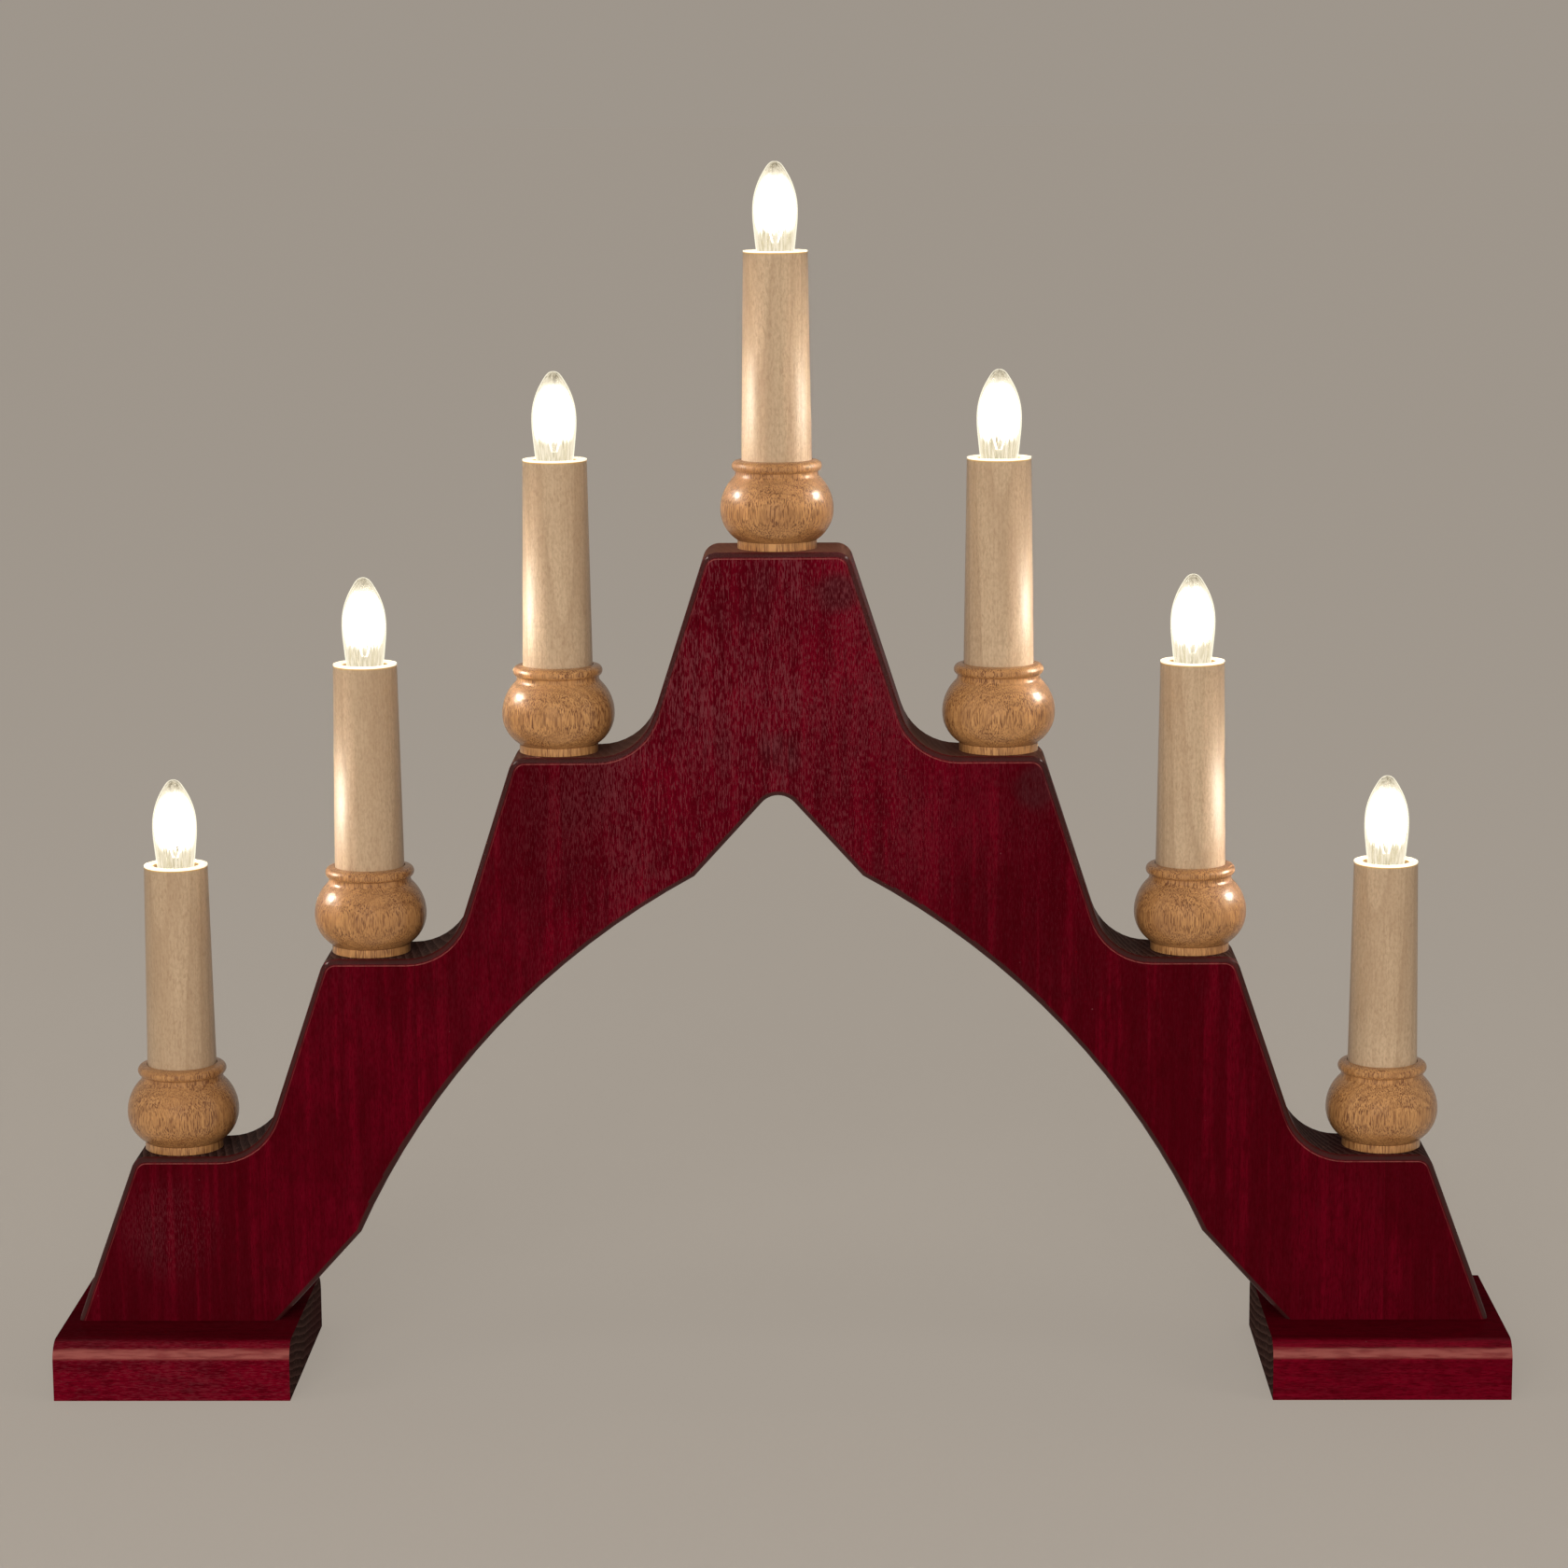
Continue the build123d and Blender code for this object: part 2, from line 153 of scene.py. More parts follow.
class StainedWoodSettings(PropertyGroup):
    """Finish of the arch board and the feet."""

    stain: colour("Stain", "Crimson stain over most of the wood", (0.108, 0.0006, 0.0065))
    # also painted shade: level tops that face up are mixed towards this tint
    deep: colour("Deep stain", "Where the wood took more stain", (0.05, 0.0005, 0.0025))
    bright: colour("Bright stain", "Where the wood took less stain", (0.165, 0.001, 0.01))
    smoke: colour("Smoky patches", "Brownish patches", (0.056, 0.0085, 0.011))
    fleck: colour("Flecks", "Pale pores that the lacquer leaves milky", (0.175, 0.04, 0.046))
    end_grain: colour("End grain", "Wood cut across its fibres", (0.034, 0.0143, 0.0112))
    end_ring: colour("End grain rings", "Paler growth rings in the end grain", (0.118, 0.06, 0.048))
    # painted light: the end grain of the upper steps, lightened as if lit by the bulbs above
    end_pale: colour("Pale end grain", "End grain of the upper steps", (0.19, 0.075, 0.048))
    # rubbed edges, also standing for a painted reflection on the rounding beside a face
    worn: colour("Worn edge", "Where the edges are rubbed thin", (0.32, 0.085, 0.07))
    stave: length("Stave width", "Width of the glued staves of the board", 0.0577)
    stave_shift: length("Stave shift", "Where one glue line lies from the middle", 0.0074)
    coat: share("Edge gloss", "Strength of the sharper gloss on rounded edges", 0.5)


class CandleSettings(PropertyGroup):
    """Finish of the turned cups and the candle tubes."""

    cup: colour("Cup wood", "Middle tone of the beech", (0.64, 0.315, 0.108))
    cup_dark: colour("Cup late wood", "Darker growth rings of the beech", (0.33, 0.14, 0.045))
    cup_fleck: colour("Cup flecks", "Short dark rays of the beech", (0.15, 0.047, 0.014))
    knot: colour("Knot", "Small knot in the outer left cup", (0.16, 0.035, 0.008))
    tube: colour("Tube wood", "Middle tone of the pale tubes", (0.64, 0.455, 0.28))
    tube_dark: colour("Tube late wood", "Darker growth rings of the tubes", (0.4, 0.25, 0.14))
    tube_fleck: colour("Tube flecks", "Fine grain of the tubes", (0.31, 0.175, 0.09))
    # painted light: the sawn top of pale wood made near white, and its rim golden, as lit by the bulb
    tube_end_lit: colour("Tube end", "Sawn top of a tube", (0.95, 0.86, 0.68))
    tube_rim_lit: colour("Tube rim", "Edge round a tube's sawn top", (0.85, 0.52, 0.13))


class BulbSettings(PropertyGroup):
    """Sizes and finish of the bulbs."""

    ribs: IntProperty(name="Ribs", description="Ribs round each glass", default=24, min=8, max=48)
    valley: share("Valley depth", "Radius of a valley as a share of a rib's", 0.96)
    wall: length("Glass wall", "Thickness of the glass", 0.0006)
    thread_pitch: length("Thread pitch", "Rise of the cap's thread in one turn", 0.001814)
    thread_depth: length("Thread depth", "How far the cap's thread stands out", 0.0003)
    glow: colour("Glow", "Colour of the lit part", (1.0, 0.945, 0.83))
    glow_strength: strength("Glow strength", "Brightness of the lit part", 190)
    haze: colour("Haze", "Light caught in the ribs of the clear tip and neck", (0.0049, 0.0044, 0.0034))
    haze_dark: colour("Dark haze", "Between the ribs of the clear tip and neck", (0.0035, 0.003, 0.0019))
    haze_tip: colour("Tip haze", "Darkest glass inside the tip", (0.0009, 0.0007, 0.0003))
    outline: colour("Outline", "Light that runs along the edge of the glass", (0.0053, 0.005, 0.0039))


class StageSettings(PropertyGroup):
    """Camera, lamps and floor."""

    floor: colour("Floor", "Colour of the floor and the background", (0.52, 0.46, 0.395))
    key_power: strength("Key lamp", "Power of the front lamp in watts", 35)
    fill_power: strength("Side lamps", "Power of each side lamp in watts", 3.0)
    sky: strength("Sky", "Brightness of the light from all round", 0.25)
    lens: FloatProperty(name="Lens", description="Focal length on a 36 mm sensor, in millimetres", default=94.12)
    camera_place: FloatVectorProperty(
        name="Camera place", description="Where the camera stands", default=(0.0229, -1.2024, 0.3873),
        subtype="TRANSLATION", unit="LENGTH",
    )
    yaw: angle("Yaw", "Turn of the camera to the left", 1.017)
    pitch: angle("Pitch", "Tilt of the camera downwards", 9.828)
    roll: angle("Roll", "Lean of the camera", 0.369)


# Shader helpers


def feed(tree, node, wires):
    """Gives a node's inputs a value or joins them to a socket; underscores in a name stand for spaces."""
    for name, value in wires.items():
        socket = node.inputs[name.replace("_", " ") if isinstance(name, str) else name]
        if isinstance(value, bpy.types.NodeSocket):
            tree.links.new(value, socket)
        elif socket.type == "RGBA" and len(value) == 3:
            socket.default_value = (*value, 1.0)
        else:
            socket.default_value = value


def put(tree, kind, wires=None, **settings):
    """Adds a shader node, sets its properties and feeds its inputs."""
    node = tree.nodes.new(f"ShaderNode{kind}")
    for name, value in settings.items():
        setattr(node, name, value)
    feed(tree, node, wires or {})
    return node


def maths(tree, operation, first, second=0.0, third=0.0):
    """One sum on numbers."""
    return put(tree, "Math", {0: first, 1: second, 2: third}, operation=operation).outputs[0]


def plus(tree, first, second):
    """The sum of two values."""
    return maths(tree, "ADD", first, second)


def minus(tree, first, second):
    """The difference of two values."""
    return maths(tree, "SUBTRACT", first, second)


def times(tree, first, *others):
    """The product of values."""
    for value in others:
        first = maths(tree, "MULTIPLY", first, value)
    return first


def larger(tree, first, second):
    """The larger of two values."""
    return maths(tree, "MAXIMUM", first, second)


def apart_by(tree, across, up):
    """The long side over two sides at right angles."""
    return maths(tree, "SQRT", plus(tree, times(tree, across, across), times(tree, up, up)))


def split(tree, vector):
    """The X, Y and Z of a vector."""
    return put(tree, "SeparateXYZ", {0: vector}).outputs


def here(tree):
    """Object coordinates."""
    return put(tree, "TexCoord").outputs["Object"]


def world_normal(tree):
    """The normal, in world space."""
    return put(tree, "NewGeometry").outputs["Normal"]


def mixed(tree, factor, below, above):
    """Two colours mixed by a factor."""
    return put(tree, "Mix", {0: factor, 6: below, 7: above}, data_type="RGBA").outputs[2]


def window(tree, value, low, high, start=0.0, end=1.0):
    """A smooth step of a value from one level to another."""
    wires = {0: value, 1: low, 2: high, 3: start, 4: end}
    return put(tree, "MapRange", wires, interpolation_type="SMOOTHSTEP").outputs[0]


def tinged(tree, tint, other, value, low, high, most=1.0):
    """A tint with another over it, as far as a value has come from one level to another."""
    return mixed(tree, window(tree, value, low, high, 0.0, most), tint, other)


def noise(tree, vector, scale, detail=2.0, stretch=(1, 1, 1)):
    """Noise on coordinates that are stretched first; returns its value."""
    if stretch != (1, 1, 1):
        vector = put(tree, "Mapping", {"Vector": vector, "Scale": stretch}).outputs[0]
    return put(tree, "TexNoise", {"Vector": vector, "Scale": scale, "Detail": detail}).outputs[0]


def group_tree(name, inputs, outputs):
    """An empty node group; an input without a default is a vector, and one with three numbers a tint."""
    tree = bpy.data.node_groups.new(name, "ShaderNodeTree")
    for label, default in inputs.items():
        kind = "Vector" if default is None else "Color" if isinstance(default, tuple) else "Float"
        socket = tree.interface.new_socket(label, in_out="INPUT", socket_type=f"NodeSocket{kind}")
        if default is not None:
            socket.default_value = (*default, 1.0) if kind == "Color" else default
    for label, kind in outputs.items():
        tree.interface.new_socket(label, in_out="OUTPUT", socket_type=f"NodeSocket{kind}")
    return tree, tree.nodes.new("NodeGroupInput"), tree.nodes.new("NodeGroupOutput")


def use_group(tree, group, **wires):
    """Places a node group and feeds its inputs."""
    return put(tree, "Group", wires, node_tree=group).outputs


def new_material(name, **wires):
    """A material with its Principled shader, and what its sockets are fed."""
    material = bpy.data.materials.new(name)
    material.use_nodes = True
    shader = material.node_tree.nodes["Principled BSDF"]
    feed(material.node_tree, shader, wires)
    return material, material.node_tree, shader


def bump(tree, shader, height, depth):
    """Relief of a given depth, in metres, on the shader's normal."""
    normal = put(tree, "Bump", {"Height": height, "Distance": depth, "Strength": 1.0}).outputs[0]
    feed(tree, shader, {"Normal": normal})


def dress(name, material):
    """Puts one material on a node of the frame."""
    piece = nodes[name]
    piece.data.materials.clear()
    piece.data.materials.append(material)


# Node groups and materials


def pores_group():
    """Short streaks along Z: pores, rays and flecks of wood."""
    inputs = {"Vector": None, "Width": 0.0004, "Length": 10.0, "Amount": 0.4}
    tree, source, target = group_tree("Wood Pores", inputs, {"Mask": "Float"})
    take = source.outputs
    shorter = maths(tree, "DIVIDE", 1.0, take["Length"])
    squeeze = put(tree, "CombineXYZ", {"X": 1.0, "Y": 1.0, "Z": shorter}).outputs[0]
    wires = {0: take["Vector"], 1: squeeze}
    scaled = put(tree, "VectorMath", wires, operation="MULTIPLY").outputs[0]
    fine = noise(tree, scaled, maths(tree, "DIVIDE", 1.0, take["Width"]), 1.0)
    edge = minus(tree, 0.78, times(tree, take["Amount"], 0.36))
    feed(tree, target, {"Mask": window(tree, fine, edge, plus(tree, edge, 0.09))})
    return tree


def rings_group():
    """Growth rings round a pith that runs along Z."""
    inputs = {"Vector": None, "Spacing": 0.003, "Pith X": 0.0, "Pith Y": 0.05, "Waver": 0.002}
    tree, source, target = group_tree("Growth Rings", inputs, {"Late Wood": "Float"})
    take = source.outputs
    parts = split(tree, take["Vector"])
    x, y = minus(tree, parts["X"], take["Pith X"]), minus(tree, parts["Y"], take["Pith Y"])
    drift = minus(tree, noise(tree, take["Vector"], 35, 2, (1, 1, 0.35)), 0.5)
    reach = plus(tree, apart_by(tree, x, y), times(tree, take["Waver"], 4, drift))
    turn = maths(tree, "FRACT", maths(tree, "DIVIDE", reach, take["Spacing"]))
    late = times(tree, maths(tree, "POWER", turn, 2.5), window(tree, turn, 1.0, 0.93))
    feed(tree, target, {"Late Wood": late})
    return tree


def stain_tint(tree, take, moved, draw):
    """Stain in clouds, smoky patches, bands and mottle; returns the tint with its cloud and its mottle."""
    cloud = noise(tree, take["Vector"], 19, 3, (1, 1, 0.6))
    shade = plus(tree, cloud, times(tree, minus(tree, draw["Value"], 0.5), 0.08))
    shade = plus(tree, shade, take["Take"])
    tint = tinged(tree, take["Stain"], take["Deep"], shade, 0.5, 0.36, 0.6)
    tint = tinged(tree, tint, take["Bright"], shade, 0.52, 0.64)
    smoky = noise(tree, moved, 33, 3, (1.2, 1, 0.8))
    patch = plus(tree, take["Patch"], maths(tree, "MULTIPLY_ADD", smoky, 1.6, -0.8))
    drifting = times(tree, window(tree, smoky, 0.55, 0.7, 0, 0.6), take["Milk"])
    tint = mixed(tree, larger(tree, window(tree, patch, 0.3, 0.8, 0, 0.85), drifting), tint, take["Smoke"])
    band = noise(tree, moved, 300, 2, (1, 1, 0.04))
    tint = tinged(tree, tint, take["Deep"], band, 0.5, 0.34, 0.35)
    tint = tinged(tree, tint, take["Bright"], band, 0.52, 0.66, 0.45)
    mottle = noise(tree, moved, 400, 3, (1, 1, 0.4))
    return tinged(tree, tint, take["Deep"], mottle, 0.46, 0.66, 0.4), cloud, mottle


def pored_tint(tree, take, moved, mottle, tint):
    """Dark lines, milky pores and specks over the stain; returns the tint with its grain."""
    line = noise(tree, moved, 1700, 2, (1, 1, 0.035))
    tint = tinged(tree, tint, take["Deep"], line, 0.5, 0.36, 0.35)
    grain = noise(tree, moved, 4300, 2, (1, 1, 0.13))
    crowd = window(tree, noise(tree, moved, 42, 3, (1, 1, 0.7)), 0.36, 0.62, 0.07, 0.0)
    edge = plus(tree, crowd, maths(tree, "MULTIPLY_ADD", line, -0.16, 0.54))
    milky = window(tree, grain, edge, plus(tree, edge, 0.12), 0, 0.8)
    tint = mixed(tree, times(tree, milky, take["Milk"]), tint, take["Fleck"])
    tint = tinged(tree, tint, take["Deep"], grain, 0.48, 0.34, 0.55)
    dust = put(tree, "TexVoronoi", {"Vector": moved, "Scale": 130.0}).outputs
    speck = plus(tree, dust["Distance"], times(tree, mottle, 0.05))
    return tinged(tree, tint, take["Fleck"], speck, 0.06, 0.045, 0.6), grain


def end_tint(tree, take, moved, cloud):
    """Wood cut across its fibres: growth rings, pores and clouds."""
    rings = shared("Growth Rings", rings_group)
    ring = use_group(tree, rings, Vector=take["Vector"], Spacing=0.0024, Pith_X=0.4, Pith_Y=0.09, Waver=0.0009)[0]
    grey = mixed(tree, ring, take["End Grain"], take["End Ring"])
    grey = tinged(tree, grey, take["End Ring"], noise(tree, moved, 1500, 2, (1, 0.25, 1)), 0.52, 0.68, 0.5)
    grey = tinged(tree, grey, take["Smoke"], cloud, 0.5, 0.66, 0.4)
    # painted light: the end grain of the upper steps is lightened as if lit by the bulbs
    return mixed(tree, take["Pale"], grey, take["End Pale"])


def sheen_and_wear_share(tree, take, flat):
    """How far the rounding beside a face is rubbed through and carries a painted reflection: ragged and broken, and
    most where it looks up.
    """
    span = minus(tree, take["Wear Start"], take["Wear End"])
    ragged = minus(tree, noise(tree, take["Vector"], 900, 3, (1, 1, 0.12)), 0.5)
    worn_at = plus(tree, flat, times(tree, span, 0.5, ragged))
    top = minus(tree, take["Wear Start"], times(tree, span, 0.12))
    middle = plus(tree, take["Wear End"], times(tree, span, 0.5))
    lean = maths(tree, "SQRT", minus(tree, 1.0001, times(tree, flat, flat)))
    upward = maths(tree, "DIVIDE", take["Upright"], lean)
    broken = window(tree, noise(tree, take["Vector"], 1100, 3, (1, 1, 0.12)), 0.3, 0.6, 0.45, 0.95)
    return times(
        tree, window(tree, flat, take["Wear Start"], top), window(tree, worn_at, take["Wear End"], middle),
        window(tree, upward, 0.1, 0.9, 0.15, 1.0), window(tree, upward, -0.3, 0.0), take["Rub"], broken)


def stained_group():
    """Stained, lacquered wood with its fibres along Z: staves, patches, streaks, flecks, end grain and rubbed edges,
    with painted shade on level tops and on the rounding beside a face, painted light on the end grain of the upper
    steps and a painted reflection along the rubbed edges.
    """
    inputs = {
        "Vector": None, "Normal": None, "Upright": 0.0, "Stave": 0.06, "Shift": 0.0, "Wear Start": 0.998,
        "Wear End": 0.95, "Take": 0.0, "Milk": 1.0, "Patch": 0.0, "Pale": 0.0, "Edge Dark": 0.0, "Rub": 1.0,
        **dict.fromkeys(STAIN_TINTS, (0.1, 0.1, 0.1)),
    }
    outputs = {"Color": "Color", "Roughness": "Float", "Height": "Float", "Gloss": "Float"}
    tree, source, target = group_tree("Stained Wood", inputs, outputs)
    take = source.outputs
    across = maths(tree, "DIVIDE", minus(tree, split(tree, take["Vector"])["X"], take["Shift"]), take["Stave"])
    draw = put(tree, "TexWhiteNoise", {"W": maths(tree, "FLOOR", across)}, noise_dimensions="1D").outputs
    wires = {0: draw["Color"], 1: (0.7, 0.7, 0.7), 2: take["Vector"]}
    moved = put(tree, "VectorMath", wires, operation="MULTIPLY_ADD").outputs[0]
    facing = split(tree, take["Normal"])
    flat = maths(tree, "ABSOLUTE", facing["Y"])
    cut_across = window(tree, maths(tree, "ABSOLUTE", facing["Z"]), 0.3, 0.72)

    tint, cloud, mottle = stain_tint(tree, take, moved, draw)
    tint, grain = pored_tint(tree, take, moved, mottle, tint)
    # painted shade: surfaces that face up are darkened towards the deep stain, as less light falls on them
    tint = tinged(tree, tint, take["Deep"], take["Upright"], 0.9, 0.99, 0.6)
    ended = times(tree, cut_across, window(tree, flat, 0.35, 0.1))
    tint = mixed(tree, ended, tint, end_tint(tree, take, moved, cloud))
    # painted shade: a dark band in the end-grain tint on the rounding near the face
    shadow = times(tree, window(tree, flat, 0.3, 0.55), window(tree, flat, 0.985, 0.93), take["Edge Dark"])
    tint = mixed(tree, shadow, tint, take["End Grain"])
    # pale band on the rounding beside a face: rubbing and a painted reflection, most where it looks up
    tint = mixed(tree, sheen_and_wear_share(tree, take, flat), tint, take["Worn"])

    rough = plus(tree, window(tree, mottle, 0.3, 0.7, 0.26, 0.42), times(tree, cut_across, 0.06))
    height = plus(tree, times(tree, grain, 0.7), times(tree, noise(tree, moved, 90, 2), 1.2))
    side = window(tree, cut_across, 0.3, 0.95, 0.5, 0.1)
    gloss = times(
        tree, window(tree, flat, 0.995, 0.93), larger(tree, side, window(tree, flat, 0.05, 0.25)),
        window(tree, take["Upright"], 0.999, 0.97, 0.15, 1.0))
    feed(tree, target, {"Color": tint, "Roughness": rough, "Height": height, "Gloss": larger(tree, gloss, 0.04)})
    return tree


def shared(name, maker):
    """A node group of that name, made the first time it is asked for."""
    return bpy.data.node_groups.get(name) or maker()


def grain_space(tree, along):
    """Object coordinates and normal, turned so that the fibres run along Z."""
    place, facing = here(tree), world_normal(tree)
    if along == "Z":
        return place, facing
    swapped = []
    for vector in (place, facing):
        parts = split(tree, vector)
        swapped.append(put(tree, "CombineXYZ", {"X": parts["Z"], "Y": parts["Y"], "Z": parts["X"]}).outputs[0])
    return swapped


def spot(tree, parts, x, z, full, reach, most):
    """A soft round spot on the board's face: its place, its full and whole reach, and its value in the middle."""
    apart = apart_by(tree, minus(tree, parts["X"], x), minus(tree, parts["Z"], z))
    return window(tree, apart, reach, full, 0, most)


def board_tones(tree, parts):
    """Where the board is darker low down, lighter near the top and a little darker on the right, stays milky and is
    smoky, and where painted light brightens its end grain.
    """
    up = parts["Z"]
    # darker towards the bottom, lighter near the top, and a little darker on the right
    rise = plus(tree, window(tree, up, 0.03, 0.15, -0.16, -0.02), window(tree, up, 0.19, 0.25, 0, 0.06))
    aside = maths(tree, "ABSOLUTE", plus(tree, parts["X"], 0.012))
    milk = times(tree, window(tree, aside, 0.025, 0.075, 0.8, 0.2), window(tree, up, 0.08, 0.21, 0.2, 1.0))
    patch = 0.0
    for x, z, reach in SMOKY_PLACES:
        patch = plus(tree, patch, spot(tree, parts, x, z, 0.0, reach, 1.0))
    return {
        "Take": minus(tree, rise, window(tree, parts["X"], 0.08, 0.16, 0, 0.04)),
        "Milk": larger(tree, milk, spot(tree, parts, *MILKY_PLACE, 0.004, 0.022, 0.35)),
        "Patch": patch,
        # painted light on the end grain of the upper steps, growing with the height
        "Pale": window(tree, up, 0.1, 0.24, 0, 0.8),
    }


def foot_tones(tree, parts):
    """The feet take the stain evenly; the left one is a little milkier."""
    return {"Take": 0.18, "Milk": window(tree, parts["X"], -0.2, 0.2, 0.3, 0.08)}


def stained_material(name, tones, along, shine, **finish):
    """Red stained, lacquered wood: a function gives its tones by place, and its finish goes into the node group."""
    wood = bpy.context.scene.arch_stained_wood
    material, tree, shader = new_material(name, Specular_IOR_Level=0.0, Coat_Roughness=0.2)
    place, facing = grain_space(tree, along)
    upright = split(tree, world_normal(tree))["Z"]
    out = use_group(
        tree, shared("Stained Wood", stained_group), Vector=place, Normal=facing, Upright=upright, **finish,
        **tones(tree, split(tree, here(tree))),
        **{tint: getattr(wood, tint.lower().replace(" ", "_")) for tint in STAIN_TINTS})
    gloss = times(tree, out["Gloss"], wood.coat * shine)
    feed(tree, shader, {"Base Color": out["Color"], "Roughness": out["Roughness"], "Coat Weight": gloss})
    bump(tree, shader, out["Height"], 0.00004)
    return material


def turned_wood(name, light, dark, fleck, pith, sawn_end=None, *, width, long, amount, weight, spacing, lean,
                contrast, mottle, fibre, coat, dull, soft):
    """Clear lacquered wood with leaning rings and flecks along Z; a sawn end is a rim's tint, its own and its top,
    painted as lit by the bulb, with a painted glow.
    """
    material, tree, shader = new_material(
        name, Roughness=soft, Specular_IOR_Level=0.5, Coat_Weight=coat, Coat_Roughness=dull)
    place = here(tree)
    parts = split(tree, place)
    leant = maths(tree, "MULTIPLY_ADD", parts["Z"], lean, parts["Y"])
    leaning = put(tree, "CombineXYZ", {"X": parts["X"], "Y": leant, "Z": parts["Z"]}).outputs[0]
    late = use_group(
        tree, shared("Growth Rings", rings_group), Vector=leaning, Spacing=spacing, Pith_X=pith[0], Pith_Y=pith[1],
        Waver=spacing * 0.35)[0]
    tint = mixed(tree, times(tree, late, contrast), light, dark)
    tint = tinged(tree, tint, dark, noise(tree, place, 60, 3, (1, 1, 0.4)), 0.35, 0.75, 0.4)
    tint = tinged(tree, tint, dark, noise(tree, place, 1700, 2, (1, 1, 0.5)), 0.4, 0.65, mottle)
    tint = tinged(tree, tint, dark, noise(tree, place, 1500, 3, (1, 1, 0.035)), 0.42, 0.62, fibre)
    spots = use_group(tree, shared("Wood Pores", pores_group), Vector=place, Width=width, Length=long, Amount=amount)[0]
    fade = window(tree, noise(tree, place, 130, 2), 0.3, 0.6, 0.4, 1.0)
    tint = mixed(tree, times(tree, spots, fade, weight), tint, fleck)
    if sawn_end:
        rim, end, top = sawn_end
        # painted light: the rim and sawn top are coloured as lit by the bulb, and the top is made to glow though it is
        # no lamp
        tint = tinged(tree, tint, rim, parts["Z"], top - RIM_BAND[0], top - RIM_BAND[1], 0.8)
        sawn = window(tree, parts["Z"], top - SAWN_BAND[0], top - SAWN_BAND[1])
        sawn = larger(tree, window(tree, split(tree, world_normal(tree))["Z"], 0.7, 0.9), sawn)
        tint = mixed(tree, sawn, tint, end)
        glow = mixed(tree, sawn, (0, 0, 0), tint)
        feed(tree, shader, {"Emission Strength": SAWN_PAINTED_GLOW, "Emission Color": glow})
    feed(tree, shader, {"Base Color": tint})
    bump(tree, shader, minus(tree, times(tree, late, 0.4), spots), 0.00003)
    return material, tree, shader, tint, place


def spotted(name, light, dark, scale, **wires):
    """A material in two tones of soft spots, with its tree, shader and coordinates."""
    material, tree, shader = new_material(name, **wires)
    place = here(tree)
    spots = window(tree, noise(tree, place, scale, 3), 0.38, 0.7)
    feed(tree, shader, {"Base Color": mixed(tree, spots, light, dark)})
    return material, tree, shader, place


def metal(name):
    """A metal of the table, made the first time it is asked for."""
    found = bpy.data.materials.get(name)
    if found:
        return found
    light, dark, spots, skin, least, most = METALS[name]
    material, tree, shader, place = spotted(name, light, dark, spots, Metallic=1.0)
    feed(tree, shader, {"Roughness": window(tree, noise(tree, place, skin, 2), 0.3, 0.7, least, most)})
    return material


def filament_material():
    """Glowing wire."""
    glow = bpy.context.scene.arch_bulbs.glow
    material, tree, shader = new_material("Filament", Base_Color=(0.4, 0.3, 0.2), Roughness=0.5, Emission_Strength=6.0)
    place = here(tree)
    coils = window(tree, noise(tree, place, 3000, 1), 0.3, 0.6, 0.5, 1.0)
    feed(tree, shader, {"Emission Color": mixed(tree, coils, (0.4, 0.2, 0.08), glow)})
    return material


def moulded(name, light, dark, roughness):
    """Moulded plastic with a faint mottle and a fine skin."""
    material, tree, shader, place = spotted(name, light, dark, 120, Roughness=roughness)
    bump(tree, shader, noise(tree, place, 2200, 2), 0.00002)
    return material


# Mesh helpers


def only(piece):
    """Makes one object the only one selected and active."""
    bpy.ops.object.select_all(action="DESELECT")
    piece.select_set(True)
    bpy.context.view_layer.objects.active = piece


def edit(piece, everything=True):
    """Goes into edit mode with all or nothing selected."""
    only(piece)
    bpy.ops.object.mode_set(mode="EDIT")
    bpy.ops.mesh.select_mode(type="VERT")
    bpy.ops.mesh.select_all(action="SELECT" if everything else "DESELECT")


def done():
    """Leaves edit mode."""
    bpy.ops.object.mode_set(mode="OBJECT")


def select_where(piece, test):
    """In edit mode, selects the vertices whose place passes a test."""
    done()
    for vertex in piece.data.vertices:
        vertex.select = test(vertex.co)
    bpy.ops.object.mode_set(mode="EDIT")


def add_modifier(piece, kind, **settings):
    """Adds a modifier and applies it."""
    only(piece)
    modifier = piece.modifiers.new(kind.title(), kind)
    for name, value in settings.items():
        setattr(modifier, name, value)
    bpy.ops.object.modifier_apply(modifier=modifier.name)


def settle(piece):
    """Puts the object at the origin, unturned and unscaled, with its place in its mesh."""
    only(piece)
    bpy.ops.object.transform_apply(location=True, rotation=True, scale=True)


def copy_of(piece, name, shift):
    """A copy with its own mesh, moved by a vector."""
    only(piece)
    bpy.ops.object.duplicate(linked=False)
    twin = bpy.context.active_object
    twin.name = twin.data.name = name
    twin.location = Vector(shift)
    settle(twin)
    return twin


def outward(piece):
    """Merges doubles and turns every face outwards."""
    edit(piece)
    bpy.ops.mesh.remove_doubles(threshold=DOUBLES)
    bpy.ops.mesh.normals_make_consistent(inside=False)
    done()


def smooth(piece, degrees):
    """Shades smooth, with sharp edges kept past an angle."""
    only(piece)
    bpy.ops.object.shade_smooth_by_angle(angle=math.radians(degrees))


def looked_up(table, value):
    """Height of the line through the points of a table, given in rising order, at a value."""
    for (left, low), (right, high) in zip(table, table[1:]):
        if value <= right:
            return low + (high - low) * max(0.0, (value - left) / (right - left))
    return table[-1][1]


def candle_axis(number):
    """The axis of a candle, on the table."""
    low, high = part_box(f"bulb_contact_{number}")
    return Vector(((low.x + high.x) / 2, (low.y + high.y) / 2, 0))


